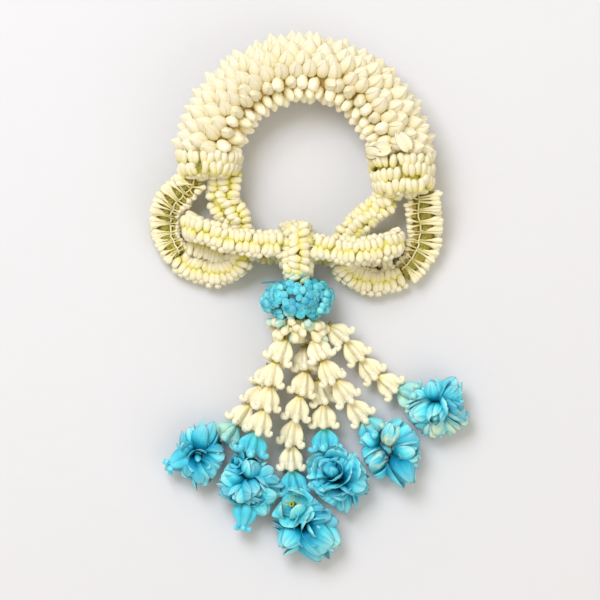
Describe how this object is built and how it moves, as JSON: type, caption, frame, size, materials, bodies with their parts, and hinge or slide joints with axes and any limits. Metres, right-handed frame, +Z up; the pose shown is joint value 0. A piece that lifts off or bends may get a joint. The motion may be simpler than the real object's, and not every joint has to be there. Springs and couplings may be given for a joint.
{
  "type": "flower garland",
  "caption": "Hand garland laid flat: thick arch of jasmine buds, small-bud rings and loops, knot, dyed bud band and tassel of crown flowers ending in dyed jasmine clusters.",
  "frame": {"origin": "middle of the footprint, on the surface that the garland lies on", "axes": "+Z up from the surface, +Y from the tassel to the arch, +X to the right seen from above"},
  "size_m": [0.1686, 0.2764, 0.0384],
  "materials": {
    "jasmine": "fresh cream petals, satin",
    "small_bud": "fresh ivory buds, satin",
    "blue_bud": "turquoise dyed buds, satin",
    "crown_flower": "waxy ivory petals",
    "blue_bloom": "turquoise dyed petals, satin",
    "thread": "cotton thread"
  },
  "bodies": {
    "root": {"arch_jasmine_1": "jasmine", "arch_jasmine_2": "jasmine", "arch_jasmine_3": "jasmine", "arch_jasmine_4": "jasmine", "arch_jasmine_5": "jasmine", "arch_jasmine_6": "jasmine", "arch_thread": "thread", "collar_left": "small_bud", "collar_right": "small_bud", "crown_A1": "crown_flower", "crown_A2": "crown_flower", "crown_A3": "crown_flower", "crown_B1": "crown_flower", "crown_B2": "crown_flower", "crown_B3": "crown_flower", "crown_B4": "crown_flower", "crown_C1": "crown_flower", "crown_C2": "crown_flower", "crown_C3": "crown_flower", "crown_C4": "crown_flower", "crown_C5": "crown_flower", "crown_D1": "crown_flower", "crown_D2": "crown_flower", "crown_E1": "crown_flower", "crown_E2": "crown_flower", "crown_E3": "crown_flower", "crown_E4": "crown_flower", "crown_F1": "crown_flower", "crown_F2": "crown_flower", "crown_F3": "crown_flower", "crown_F4": "crown_flower", "dyed_band": "blue_bud", "dyed_cluster_A": "blue_bloom", "dyed_cluster_B": "blue_bloom", "dyed_cluster_C": "blue_bloom", "dyed_cluster_D": "blue_bloom", "dyed_cluster_E": "blue_bloom", "dyed_cluster_F": "blue_bloom", "dyed_crown_A": "blue_bloom", "dyed_crown_B": "blue_bloom", "dyed_crown_C": "blue_bloom", "dyed_crown_D": "blue_bloom", "dyed_crown_E": "blue_bloom", "dyed_crown_F": "blue_bloom", "knot": "small_bud", "loop_left_lower": "small_bud", "loop_left_upper": "small_bud", "loop_right_lower": "small_bud", "loop_right_upper": "small_bud", "loop_thread": "thread", "ring_left_bottom": "small_bud", "ring_left_inner": "small_bud", "ring_left_outer": "small_bud", "ring_right_bottom": "small_bud", "ring_right_inner": "small_bud", "ring_right_outer": "small_bud", "ring_thread_left": "thread", "ring_thread_right": "thread", "skirt": "small_bud", "tassel_threads": "thread"}
  },
  "joints": []
}
